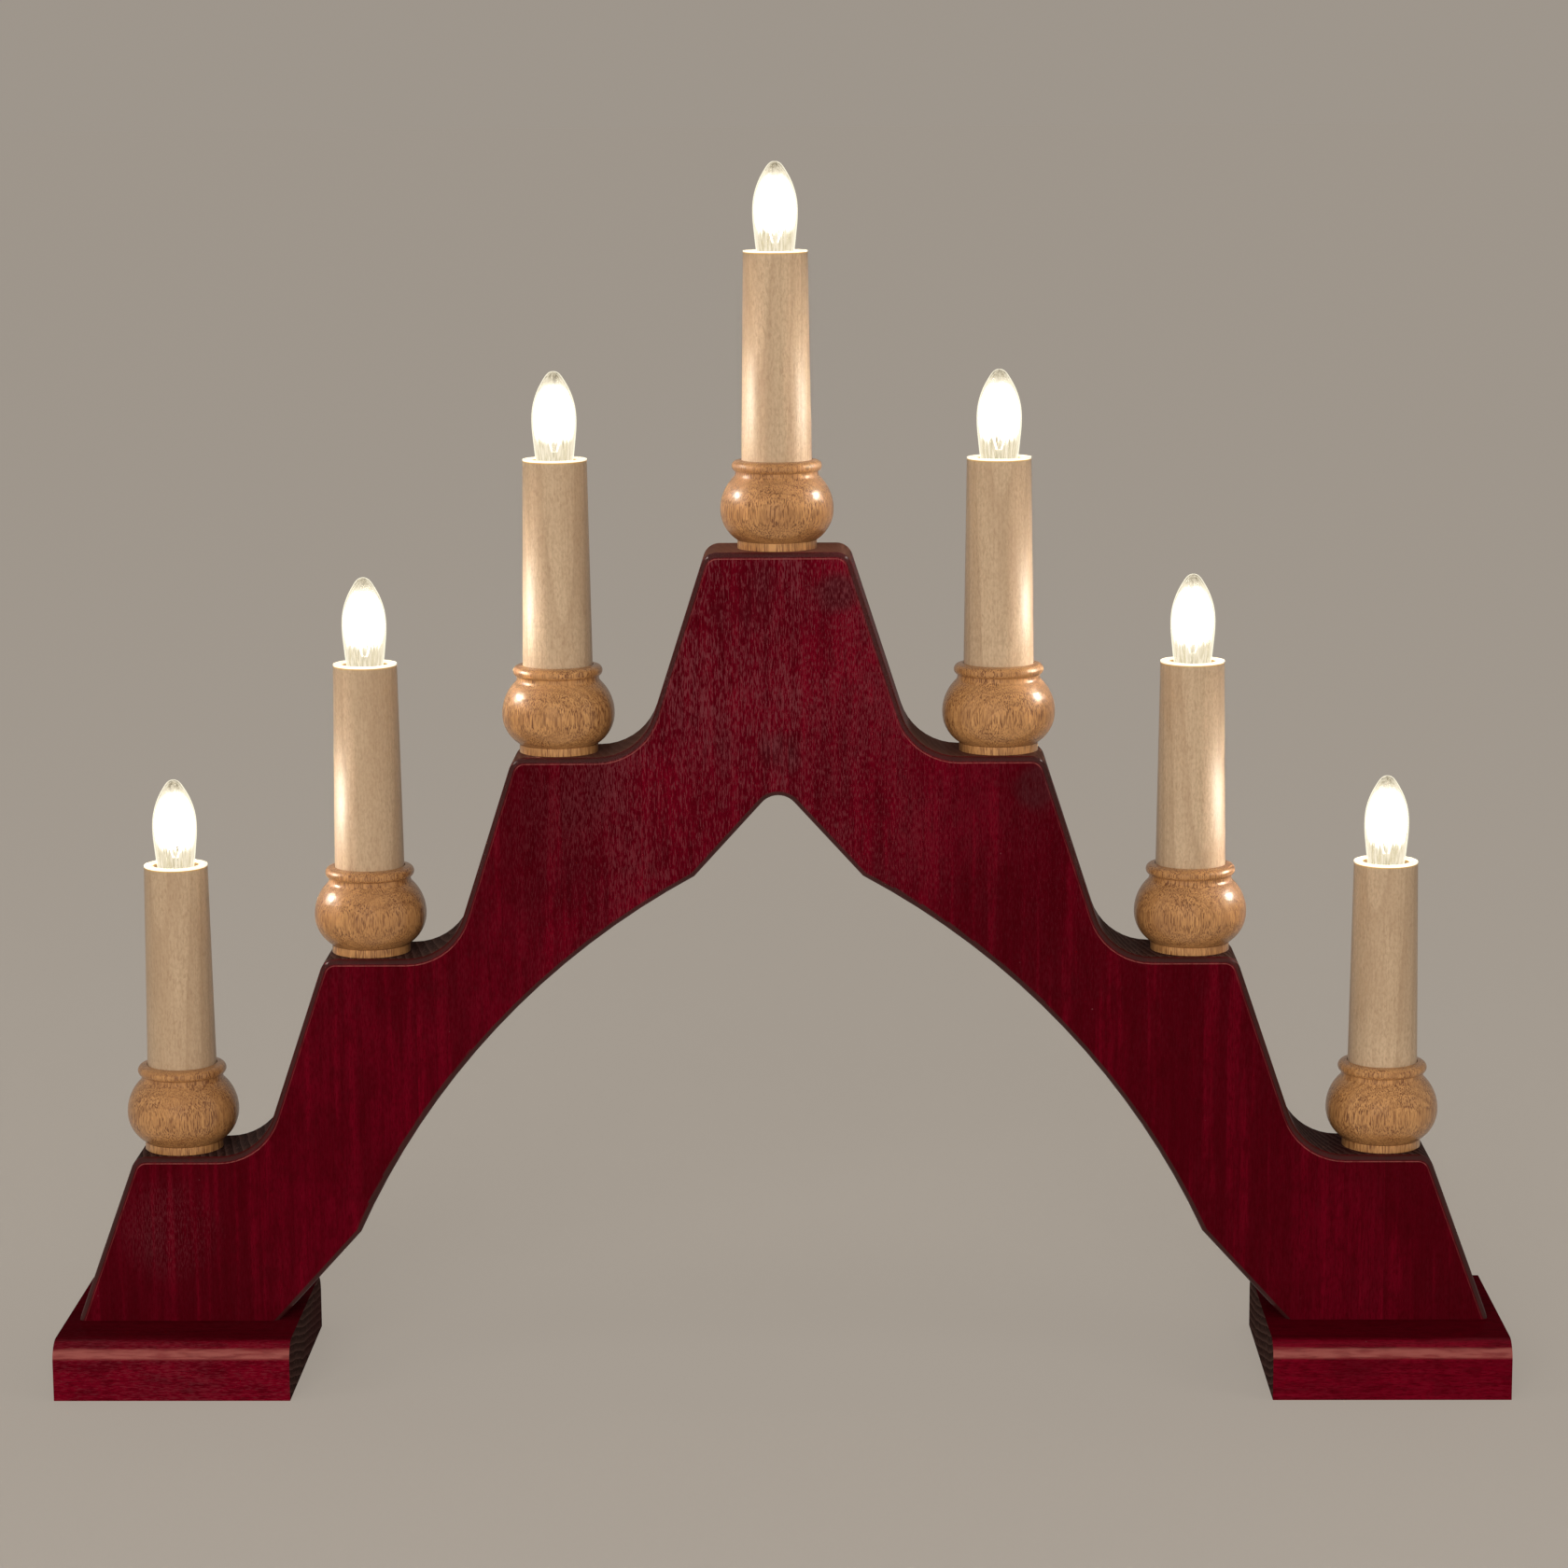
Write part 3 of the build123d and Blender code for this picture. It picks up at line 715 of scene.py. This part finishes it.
def pith_of(number, height, aside, step, behind, swing, turn, rise):
    """Where the pith of a turned piece lies at a height, for each candle a little differently."""
    x = candle_axis(number).x + aside * math.sin(number * step)
    return x, behind + swing * math.cos(number * turn) + rise * height


def ridge(name, root, crest, pitch, turns, base, steps=28):
    """A closed helical ridge round the Z axis: a triangular profile, turned and raised, its ends filled."""
    bpy.ops.mesh.primitive_circle_add(vertices=3, radius=pitch, fill_type="NOTHING")
    thread = bpy.context.active_object
    thread.name = thread.data.name = name
    settle(thread)
    half = pitch * HALF_RIDGE
    places = ((root, base - half), (crest, base), (root, base + half))
    for vertex, (x, z) in zip(thread.data.vertices, places):
        vertex.co = (x, 0, z)
    add_modifier(
        thread, "SCREW", angle=math.tau, screw_offset=pitch, iterations=turns, steps=steps, render_steps=steps,
        use_normal_calculate=True)
    capped(thread)
    return thread


def joined(name, pieces):
    """Several objects joined into the first."""
    only(pieces[0])
    for piece in pieces:
        piece.select_set(True)
    bpy.ops.object.join()
    pieces[0].name = pieces[0].data.name = name
    return pieces[0]


def turned(name, profile, sides):
    """A ring that is extruded and scaled through each radius and height of a profile, left in edit mode."""
    radius, height = profile[0]
    bpy.ops.mesh.primitive_circle_add(vertices=sides, radius=radius, location=(0, 0, height), fill_type="NOTHING")
    piece = bpy.context.active_object
    piece.name = piece.data.name = name
    settle(piece)
    edit(piece)
    for (before, low), (after, high) in zip(profile, profile[1:]):
        bpy.ops.mesh.extrude_region_move(TRANSFORM_OT_translate={"value": (0, 0, high - low)})
        bpy.ops.transform.resize(value=(after / before, after / before, 1), center_override=(0, 0, 0))
    return piece


def lathe(name, profile, sides):
    """A closed turned shape from a profile that ends where it starts."""
    piece = turned(name, profile, sides)
    done()
    outward(piece)
    return piece


def capped(piece):
    """Fills the open ends of a mesh and turns its faces outwards."""
    edit(piece, False)
    bpy.ops.mesh.select_non_manifold(extend=False)
    bpy.ops.mesh.edge_face_add()
    done()
    outward(piece)


# Operators


class ARCH_OT_board(Operator):
    """Stain the arch board"""

    bl_idname = "candle_arch.board"
    bl_label = "Arch Board"

    def execute(self, context):
        wood = context.scene.arch_stained_wood
        dress("arch_board", stained_material(
            "Red Stain Upright", board_tones, Stave=wood.stave, Shift=wood.stave_shift, **BOARD_FINISH))
        return {"FINISHED"}


class ARCH_OT_feet(Operator):
    """Stain the two feet, with their grain along the arch"""

    bl_idname = "candle_arch.feet"
    bl_label = "Feet"

    def execute(self, context):
        material = stained_material("Red Stain Level", foot_tones, **FOOT_FINISH)
        for name in ("foot_left", "foot_right"):
            dress(name, material)
        return {"FINISHED"}


class ARCH_OT_cups(Operator):
    """Finish the turned cups in lacquered beech"""

    bl_idname = "candle_arch.cups"
    bl_label = "Cups"

    def execute(self, context):
        candle = context.scene.arch_candles
        for number in CANDLES:
            pith = pith_of(number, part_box(f"cup_{number}")[0].z, *CUP_PITH)
            finish = turned_wood(
                f"Lacquered Beech {number}", candle.cup, candle.cup_dark, candle.cup_fleck, pith, **CUP_FINISH)
            if number == 1:
                self.knot(candle, *finish[1:])
            dress(f"cup_{number}", finish[0])
        return {"FINISHED"}

    def knot(self, candle, tree, shader, tint, place):
        """A small pin knot on the front of the outer left cup, with darker wood round it."""
        axis, base = candle_axis(1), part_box("cup_1")[0].z
        ragged, halo, heart = 0.0016, (0.0062, 0.0028, 0.4), (0.0029, 0.0021, 0.85)
        centre = [start + offset for start, offset in zip((axis.x, axis.y, base), KNOT_PLACE)]
        apart = put(tree, "VectorMath", {0: place, 1: centre}, operation="DISTANCE").outputs["Value"]
        apart = plus(tree, apart, times(tree, noise(tree, place, 500, 2), ragged))
        tint = tinged(tree, tint, candle.cup_dark, apart, *halo)
        tint = tinged(tree, tint, candle.knot, apart, *heart)
        feed(tree, shader, {"Base Color": tint})


class ARCH_OT_tubes(Operator):
    """Finish the candle tubes in pale lacquered wood"""

    bl_idname = "candle_arch.tubes"
    bl_label = "Candle Tubes"

    def execute(self, context):
        candle = context.scene.arch_candles
        for number in CANDLES:
            low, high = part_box(f"candle_tube_{number}")
            pith = pith_of(number, low.z, *TUBE_PITH)
            material = turned_wood(
                f"Pale Wood {number}", candle.tube, candle.tube_dark, candle.tube_fleck, pith,
                (candle.tube_rim_lit, candle.tube_end_lit, high.z), **TUBE_FINISH)[0]
            dress(f"candle_tube_{number}", material)
        return {"FINISHED"}


class ARCH_OT_glass(Operator):
    """Model the fluted glass of the bulbs, lit from inside"""

    bl_idname = "candle_arch.glass"
    bl_label = "Fluted Glass"

    def glass(self, settings, low, high):
        """One glass over the origin: rings drawn up from the neck, valleys pressed in, smoothed and given its wall."""
        tall, widest = high.z - low.z, (high.x - low.x) / 2
        profile = [(out * widest, high.z - down * tall) for down, out in GLASS_SHARES]
        glass = turned("glass_model", profile, 2 * settings.ribs)
        bpy.ops.mesh.edge_face_add()
        bpy.ops.mesh.poke()
        pitch = math.pi / settings.ribs
        select_where(glass, lambda co: co.xy.length > ON_AXIS and round(math.atan2(co.y, co.x) / pitch) % 2 == 1)
        bpy.ops.transform.resize(value=(settings.valley, settings.valley, 1), center_override=(0, 0, 0))
        done()
        outward(glass)
        add_modifier(glass, "SUBSURF", levels=1, render_levels=1)
        add_modifier(glass, "SOLIDIFY", thickness=settings.wall, offset=-1)
        add_modifier(glass, "SUBSURF", levels=1, render_levels=1)
        smooth(glass, 80)
        self.mark(glass, low.z, tall, widest)
        return glass

    def execute(self, context):
        settings = context.scene.arch_bulbs
        first = candle_axis(1)
        low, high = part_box("bulb_glass_1")
        model = self.glass(settings, low - first, high - first)
        model.data.materials.append(self.material(settings))
        for number in CANDLES:
            shift = candle_axis(number)
            shift.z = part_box(f"bulb_glass_{number}")[1].z - high.z
            piece = copy_of(model, f"fluted_glass_{number}", shift)
            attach(piece, f"bulb_{number}")
            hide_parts(f"bulb_glass_{number}")
        bpy.data.objects.remove(model)
        return {"FINISHED"}

    def mark(self, glass, base, tall, widest):
        """Keeps each vertex's share of the way up, and which way the glass would face there without its ribs."""
        falls = []
        for (down, out), (next_down, next_out) in zip(GLASS_SHARES, GLASS_SHARES[1:]):
            fall = (out - next_out) * widest / ((down - next_down) * tall)
            falls.append((1 - (down + next_down) / 2, fall))
        heights, facing = [], []
        for vertex in glass.data.vertices:
            heights.append((vertex.co.z - base) / tall)
            around = Vector((vertex.co.x, vertex.co.y, 0)).normalized()
            facing.extend((around + Vector((0, 0, looked_up(falls, heights[-1])))).normalized())
        glass.data.attributes.new("up", "FLOAT", "POINT").data.foreach_set("value", heights)
        glass.data.attributes.new("away", "FLOAT_VECTOR", "POINT").data.foreach_set("vector", facing)

    def material(self, settings):
        """Clear glass whose middle shines, with hazy streaks in its tip and neck."""
        material, tree, shader = new_material(
            "Fluted Glass", Base_Color=(0.02, 0.019, 0.015), Roughness=0.06, IOR=1.5, Specular_IOR_Level=0.1,
            Emission_Strength=settings.glow_strength)
        up = put(tree, "Attribute", attribute_name="up").outputs["Fac"]
        place = here(tree)
        streak = noise(tree, place, 1300, 2, (1, 1, 0.05))
        level = plus(tree, up, times(tree, minus(tree, streak, 0.5), 0.16))
        away = {0: put(tree, "Attribute", attribute_name="away").outputs["Vector"]}
        away = put(tree, "VectorTransform", away, vector_type="NORMAL", convert_from="OBJECT", convert_to="WORLD")
        rim = put(tree, "LayerWeight", {"Blend": 0.5, "Normal": away.outputs[0]}).outputs["Facing"]
        lit = times(
            tree, window(tree, level, 0.35, 0.62), window(tree, level, 0.96, 0.58), window(tree, rim, 0.76, 0.22))
        lit = maths(tree, "POWER", lit, 3)
        streaky = window(tree, streak, 0.4, 0.6)
        haze = mixed(tree, streaky, settings.haze_dark, settings.haze)
        tip = times(tree, window(tree, up, 0.88, 0.95), window(tree, streak, 0.62, 0.42, 0.25, 1.0))
        haze = mixed(tree, tip, haze, settings.haze_tip)
        haze = tinged(tree, haze, settings.haze, rim, 0.4, 0.6, 0.6)
        line = window(tree, rim, 0.6, 0.72)
        haze = mixed(tree, line, haze, settings.outline)
        veil = plus(tree, times(tree, streaky, 0.5), times(tree, rim, 0.6))
        veil = plus(tree, veil, window(tree, up, 0.5, 0.25, 0, 0.4))
        veil = larger(tree, maths(tree, "MINIMUM", veil, 1.0), line)
        solid = larger(tree, window(tree, lit, 0.0, 0.05), veil)
        feed(tree, shader, {"Emission Color": mixed(tree, lit, haze, settings.glow), "Alpha": solid})
        return material


class ARCH_OT_caps(Operator):
    """Model the threaded caps of the bulbs and finish their inner pieces"""

    bl_idname = "candle_arch.caps"
    bl_label = "Screw Caps"

    def cap(self, settings, low, high):
        """A drawn brass cap over the origin, with its thread and its turned-in rim."""
        crest, top, base = (high.x - low.x) / 2, high.z, low.z
        wall, flare, lip = 0.0003, 0.0004, 0.0011
        bite, start, spare = 0.0001, 0.0012, 0.001
        root = crest - settings.thread_depth
        inner, seat = root - wall, root - lip
        profile = [
            (seat, base), (inner, base), (root, base + wall), (root, top - flare), (crest, top), (crest - wall, top),
            (inner, top - flare), (inner, base + wall), (seat, base + wall), (seat, base),
        ]
        shell = lathe("cap_shell", profile, sides=64)
        turns = int((top - base - spare) / settings.thread_pitch) - 1
        thread = ridge("cap_thread", root - bite, crest, settings.thread_pitch, turns, base + start)
        cap = joined("screw_cap", [shell, thread])
        smooth(cap, 40)
        return cap

    def execute(self, context):
        settings = context.scene.arch_bulbs
        first = candle_axis(1)
        low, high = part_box("bulb_cap_1")
        model = self.cap(settings, low - first, high - first)
        model.data.materials.append(metal("Pressed Brass"))
        for number in CANDLES:
            shift = candle_axis(number)
            shift.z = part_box(f"bulb_cap_{number}")[1].z - high.z
            piece = copy_of(model, f"screw_cap_{number}", shift)
            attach(piece, f"bulb_{number}")
            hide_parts(f"bulb_cap_{number}")
        bpy.data.objects.remove(model)
        mount = spotted("Stem Glass", (0.5, 0.5, 0.47), (0.3, 0.3, 0.3), 350, Roughness=0.12, IOR=1.5)[0]
        contact, wire = metal("Tinned Contact"), filament_material()
        for number in CANDLES:
            dress(f"bulb_stem_{number}", mount)
            dress(f"bulb_contact_{number}", contact)
            dress(f"bulb_filament_{number}", wire)
        return {"FINISHED"}


class ARCH_OT_fittings(Operator):
    """Finish the lampholders, sleeves, strips, leads and staples"""

    bl_idname = "candle_arch.fittings"
    bl_label = "Fittings"

    def execute(self, context):
        dress("lampholders", moulded("Holder Plastic", (0.74, 0.72, 0.66), (0.66, 0.64, 0.58), 0.45))
        dress("link_leads", moulded("Lead Insulation", (0.58, 0.53, 0.4), (0.5, 0.45, 0.34), 0.4))
        dress("thread_sleeves", metal("Pressed Brass"))
        dress("centre_strips", metal("Pressed Brass"))
        dress("lead_staples", metal("Zinc Plate"))
        return {"FINISHED"}


class ARCH_OT_screws(Operator):
    """Model the threaded, cross-recessed screws under the feet"""

    bl_idname = "candle_arch.screws"
    bl_label = "Foot Screws"

    def screw(self, low, high):
        """One countersunk screw over the origin."""
        head, shank, crest, point = 0.004, 0.0018, 0.00225, 0.0001
        brim, sunk, taper = 0.0002, 0.0022, 0.005
        recess, narrowed = (0.0042, 0.0009, 0.0026), 0.45
        pitch, turns, start, steps = 0.0018, 12, 0.0075, 20
        profile = [
            (point, low.z), (head, low.z), (head, low.z + brim), (shank, low.z + sunk), (shank, high.z - taper),
            (point, high.z - brim),
        ]
        body = lathe("screw_body", profile, sides=48)
        capped(body)
        for turn in (0, math.pi / 2):
            bpy.ops.mesh.primitive_cube_add(size=1, location=(0, 0, low.z), rotation=(0, 0, turn))
            cutter = bpy.context.active_object
            cutter.scale = recess
            settle(cutter)
            edit(cutter, False)
            select_where(cutter, lambda co: co.z > low.z)
            bpy.ops.transform.resize(value=(narrowed, narrowed, 1), center_override=(0, 0, 0))
            done()
            add_modifier(body, "BOOLEAN", object=cutter, operation="DIFFERENCE", solver="EXACT")
            bpy.data.objects.remove(cutter)
        thread = ridge("screw_thread", shank - brim, crest, pitch, turns, low.z + start, steps)
        screw = joined("foot_screw", [body, thread])
        smooth(screw, 35)
        return screw

    def execute(self, context):
        low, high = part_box("foot_screws")
        tips = [vertex.co for vertex in nodes["foot_screws"].data.vertices if vertex.co.z > high.z - AT_TIP]
        model = self.screw(low, high)
        model.data.materials.append(metal("Zinc Plate"))
        for number, x in enumerate(sorted({round(tip.x, 3) for tip in tips}), 1):
            piece = copy_of(model, f"foot_screw_{number}", (x, 0, 0))
            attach(piece, "stand")
            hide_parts("foot_screws")
        bpy.data.objects.remove(model)
        return {"FINISHED"}


class ARCH_OT_stage(Operator):
    """Set up the floor, the soft lamps and the camera"""

    bl_idname = "candle_arch.stage"
    bl_label = "Stage"

    def execute(self, context):
        settings = context.scene.arch_stage
        context.scene.view_settings.view_transform = "Standard"
        self.floor(settings)
        self.sky(settings)
        for name, power, size, place in LAMPS:
            self.lamp(name, getattr(settings, power), size, place)
        self.camera(settings)
        return {"FINISHED"}

    def seen(self, tree):
        """One for rays from the camera, and for those that a mirror or glass sends on."""
        rays = put(tree, "LightPath").outputs
        seen = larger(tree, rays["Is Camera Ray"], rays["Is Glossy Ray"])
        return larger(tree, seen, rays["Is Transmission Ray"])

    def floor(self, settings):
        """A wide pale floor that keeps the object's shadow."""
        bpy.ops.mesh.primitive_plane_add(size=FLOOR_SIZE, location=(0, 0, 0))
        floor = bpy.context.active_object
        floor.name = "Floor"
        material, tree, shader = new_material(
            "Floor", Roughness=0.9, Base_Color=settings.floor, Specular_IOR_Level=0.1)
        even = put(tree, "Emission", {"Color": settings.floor, "Strength": EVEN_LIGHT}).outputs[0]
        part = times(tree, self.seen(tree), EVEN_SHARE)
        mix = put(tree, "MixShader", {0: part, 1: shader.outputs[0], 2: even})
        feed(tree, tree.nodes["Material Output"], {"Surface": mix.outputs[0]})
        floor.data.materials.append(material)

    def sky(self, settings):
        """Even light from all round, with the floor's colour where it is seen."""
        world = bpy.context.scene.world or bpy.data.worlds.new("Sky")
        bpy.context.scene.world = world
        world.use_nodes = True
        tree = world.node_tree
        back = tree.nodes["Background"]
        feed(tree, back, {"Color": (1.0, 0.98, 0.95), "Strength": settings.sky})
        shown = put(tree, "Background", {"Color": settings.floor, "Strength": BACKDROP_LIGHT})
        mix = put(tree, "MixShader", {0: self.seen(tree), 1: back.outputs[0], 2: shown.outputs[0]})
        feed(tree, tree.nodes["World Output"], {"Surface": mix.outputs[0]})

    def lamp(self, name, power, size, place):
        """A square soft lamp that faces the middle of the arch."""
        bpy.ops.object.light_add(type="AREA", location=place)
        lamp = bpy.context.active_object
        lamp.name = name
        lamp.data.energy, lamp.data.size = power, size
        lamp.visible_glossy = False
        towards = Vector(LAMP_AIM) - Vector(place)
        lamp.rotation_euler = towards.to_track_quat("-Z", "Y").to_euler()

    def camera(self, settings):
        """A camera at the photograph's viewpoint."""
        yaw, pitch, roll = -settings.yaw, settings.pitch, -settings.roll
        ahead = Vector((math.sin(yaw) * math.cos(pitch), math.cos(yaw) * math.cos(pitch), -math.sin(pitch)))
        level = Vector((math.cos(yaw), -math.sin(yaw), 0))
        above = level.cross(ahead)
        right = level * math.cos(roll) + above * math.sin(roll)
        up = above * math.cos(roll) - level * math.sin(roll)
        bpy.ops.object.camera_add(location=settings.camera_place)
        camera = bpy.context.active_object
        camera.name = "Camera"
        camera.data.sensor_width = 36.0
        camera.data.sensor_fit = "HORIZONTAL"
        camera.data.lens = settings.lens
        camera.data.clip_start, camera.data.clip_end = 0.05, 100
        turn = Matrix((right, up, -ahead)).transposed().to_4x4()
        camera.matrix_world = Matrix.Translation(settings.camera_place) @ turn
        bpy.context.scene.camera = camera


class ARCH_PT_panel(Panel):
    """Lists the pieces of the candle arch and their settings."""

    bl_idname = "ARCH_PT_panel"
    bl_label = "Candle Arch"
    bl_space_type = "VIEW_3D"
    bl_region_type = "UI"
    bl_category = "Candle Arch"

    def draw(self, context):
        for settings, (_, *operators) in SECTIONS.items():
            box = self.layout.box()
            group = getattr(context.scene, settings)
            for name in group.bl_rna.properties.keys():
                if name not in ("rna_type", "name"):
                    box.prop(group, name)
            for operator in operators:
                box.operator(operator.bl_idname)


SECTIONS = {
    "arch_stained_wood": (StainedWoodSettings, ARCH_OT_board, ARCH_OT_feet),
    "arch_candles": (CandleSettings, ARCH_OT_cups, ARCH_OT_tubes),
    "arch_bulbs": (BulbSettings, ARCH_OT_glass, ARCH_OT_caps, ARCH_OT_fittings, ARCH_OT_screws),
    "arch_stage": (StageSettings, ARCH_OT_stage),
}
CLASSES = (*(cls for section in SECTIONS.values() for cls in section), ARCH_PT_panel)


def register():
    """Registers the classes and hangs the settings on the scene."""
    for cls in CLASSES:
        bpy.utils.register_class(cls)
    for name, (settings, *_) in SECTIONS.items():
        setattr(bpy.types.Scene, name, PointerProperty(type=settings))


def unregister():
    """Takes the settings and the classes away again."""
    for name in SECTIONS:
        delattr(bpy.types.Scene, name)
    for cls in reversed(CLASSES):
        bpy.utils.unregister_class(cls)


def main():
    """Makes every piece in order."""
    register()
    bpy.ops.candle_arch.stage()
    bpy.ops.candle_arch.board()
    bpy.ops.candle_arch.feet()
    bpy.ops.candle_arch.cups()
    bpy.ops.candle_arch.tubes()
    bpy.ops.candle_arch.glass()
    bpy.ops.candle_arch.caps()
    bpy.ops.candle_arch.fittings()
    bpy.ops.candle_arch.screws()


if __name__ == "__main__":
    main()
